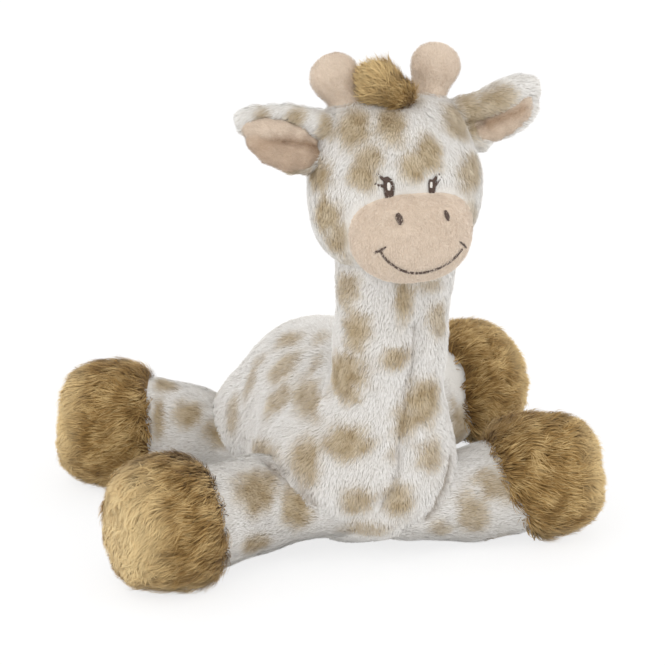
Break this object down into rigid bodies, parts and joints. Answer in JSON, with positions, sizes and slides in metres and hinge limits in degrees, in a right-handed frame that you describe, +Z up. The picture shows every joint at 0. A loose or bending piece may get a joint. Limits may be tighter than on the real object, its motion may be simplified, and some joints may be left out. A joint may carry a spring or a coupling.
{
  "type": "plush giraffe",
  "caption": "Stuffed toy giraffe lying on its belly with its legs spread and its head up, with round knobs, leaf ears, a stitched face and shaggy hooves.",
  "frame": {"origin": "middle of the outline on the ground that the toy lies on", "axes": "+Z up, -Y the way the face looks, +X the animal's left side"},
  "size_m": [0.2424, 0.2188, 0.2404],
  "materials": {
    "spotted_plush": "short soft pile, off-white with blurred sandy spots",
    "golden_pile": "long shaggy pile, golden brown with paler tips",
    "beige_velboa": "smooth cropped pile, pinkish beige",
    "dark_thread": "satin-stitched embroidery thread, dark brown",
    "white_thread": "satin-stitched embroidery thread, white",
    "fibre_fill": "loose white polyester fibre"
  },
  "bodies": {
    "torso": {"torso_cover": "spotted_plush", "torso_stuffing": "fibre_fill"},
    "neck": {"neck_cover": "spotted_plush", "neck_stuffing": "fibre_fill"},
    "head": {"head_cover": "spotted_plush", "head_stuffing": "fibre_fill", "muzzle_cover": "beige_velboa", "muzzle_stuffing": "fibre_fill", "crown_tuft": "golden_pile", "smile_embroidery": "dark_thread", "left_knob_cover": "beige_velboa", "left_knob_stuffing": "fibre_fill", "left_eye_embroidery": "dark_thread", "left_eye_glint": "white_thread", "left_nostril_embroidery": "dark_thread", "right_knob_cover": "beige_velboa", "right_knob_stuffing": "fibre_fill", "right_eye_embroidery": "dark_thread", "right_eye_glint": "white_thread", "right_nostril_embroidery": "dark_thread"},
    "left_ear": {"left_ear_back": "spotted_plush", "left_ear_lining": "beige_velboa"},
    "right_ear": {"right_ear_back": "spotted_plush", "right_ear_lining": "beige_velboa"},
    "left_front_leg": {"left_front_leg_cover": "spotted_plush", "left_front_leg_stuffing": "fibre_fill", "left_front_hoof_cover": "golden_pile", "left_front_hoof_stuffing": "fibre_fill"},
    "right_front_leg": {"right_front_leg_cover": "spotted_plush", "right_front_leg_stuffing": "fibre_fill", "right_front_hoof_cover": "golden_pile", "right_front_hoof_stuffing": "fibre_fill"},
    "left_rear_leg": {"left_rear_leg_cover": "spotted_plush", "left_rear_leg_stuffing": "fibre_fill", "left_rear_hoof_cover": "golden_pile", "left_rear_hoof_stuffing": "fibre_fill"},
    "right_rear_leg": {"right_rear_leg_cover": "spotted_plush", "right_rear_leg_stuffing": "fibre_fill", "right_rear_hoof_cover": "golden_pile", "right_rear_hoof_stuffing": "fibre_fill"},
    "tail": {"tail_cover": "spotted_plush", "tail_tuft": "golden_pile"}
  },
  "joints": [
    {"name": "neck_bend", "type": "hinge", "parent": "torso", "child": "neck", "pos_m": [0.011, -0.05142, 0.074], "axis": [1, 0, 0], "range_deg": [-10, 20], "stiffness_Nm_per_rad": 0.2},
    {"name": "head_turn", "type": "hinge", "parent": "neck", "child": "head", "pos_m": [0.013, -0.05842, 0.181], "axis": [0.019, -0.065, 0.9977], "range_deg": [-25, 25], "stiffness_Nm_per_rad": 0.05},
    {"name": "left_ear_flap", "type": "hinge", "parent": "head", "child": "left_ear", "pos_m": [0.047, -0.05842, 0.203], "axis": [-0.222, 0.9351, 0.276], "range_deg": [-20, 20], "stiffness_Nm_per_rad": 0.008},
    {"name": "right_ear_flap", "type": "hinge", "parent": "head", "child": "right_ear", "pos_m": [-0.021, -0.05842, 0.203], "axis": [-0.222, -0.9351, -0.276], "range_deg": [-20, 20], "stiffness_Nm_per_rad": 0.008},
    {"name": "left_front_leg_lift", "type": "hinge", "parent": "torso", "child": "left_front_leg", "pos_m": [0.037, -0.05142, 0.0245], "axis": [-0.139, -0.9903, 0], "range_deg": [-8, 22], "stiffness_Nm_per_rad": 0.25},
    {"name": "right_front_leg_lift", "type": "hinge", "parent": "torso", "child": "right_front_leg", "pos_m": [-0.037, -0.05142, 0.0245], "axis": [-0.139, 0.9903, 0], "range_deg": [-8, 22], "stiffness_Nm_per_rad": 0.25},
    {"name": "left_rear_leg_lift", "type": "hinge", "parent": "torso", "child": "left_rear_leg", "pos_m": [0.04, 0.04358, 0.0245], "axis": [0.3258, -0.9454, 0], "range_deg": [-8, 22], "stiffness_Nm_per_rad": 0.25},
    {"name": "right_rear_leg_lift", "type": "hinge", "parent": "torso", "child": "right_rear_leg", "pos_m": [-0.04, 0.04358, 0.0245], "axis": [0.3258, 0.9454, 0], "range_deg": [-8, 22], "stiffness_Nm_per_rad": 0.25},
    {"name": "tail_swing", "type": "hinge", "parent": "torso", "child": "tail", "pos_m": [-0.00012, 0.07629, 0.044], "axis": [0, 0, 1], "range_deg": [-25, 25], "stiffness_Nm_per_rad": 0.006}
  ]
}
